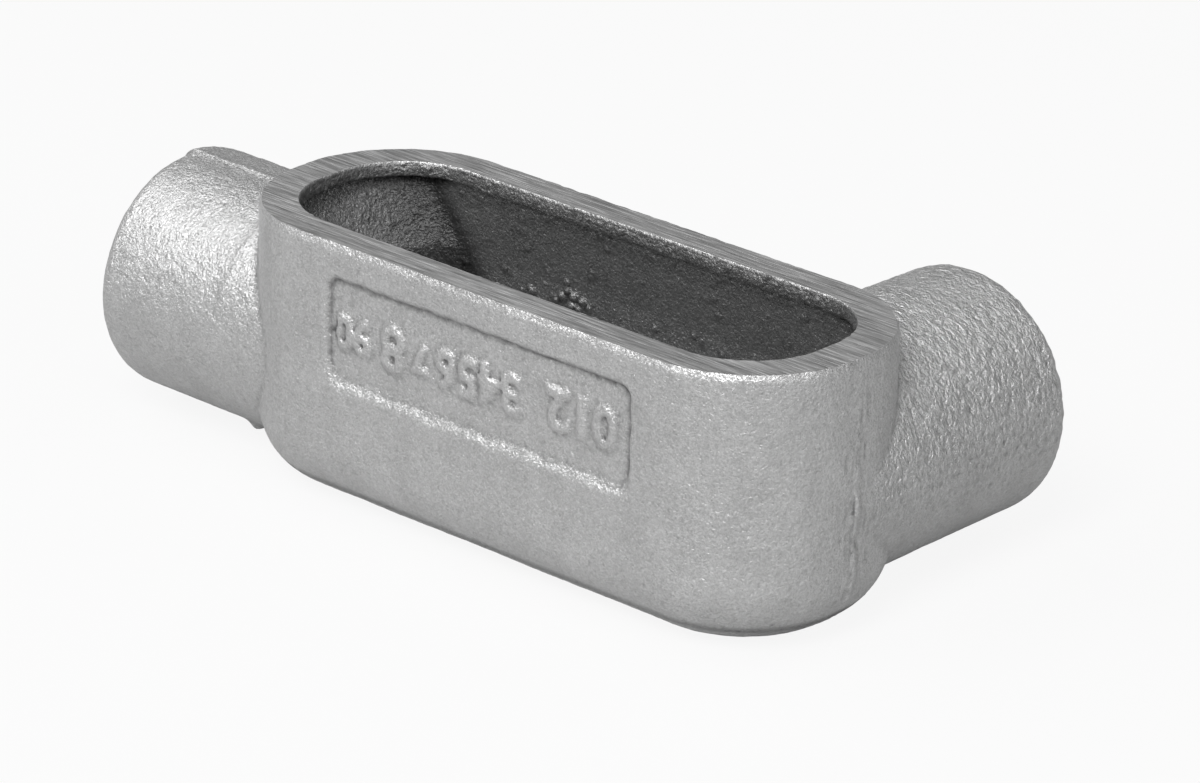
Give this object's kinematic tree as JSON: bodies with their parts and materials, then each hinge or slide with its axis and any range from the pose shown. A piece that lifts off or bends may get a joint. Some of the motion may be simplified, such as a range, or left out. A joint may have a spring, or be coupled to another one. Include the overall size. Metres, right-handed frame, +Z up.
{
  "type": "conduit body",
  "caption": "Side-outlet conduit body: an open cast-iron trough with a ground rim and threaded hubs on its end and its side, for pulling wires round a corner.",
  "frame": {"origin": "middle of the trough's base, on its underside", "axes": "+X along the trough towards the end without a hub, +Y towards the side hub, +Z up through the opening"},
  "size_m": [0.114, 0.0584, 0.0364],
  "materials": {
    "lacquered_casting": "as-cast skin under thin aluminium lacquer, ground rim"
  },
  "bodies": {
    "root": {"conduit_body": "lacquered_casting"}
  },
  "joints": []
}
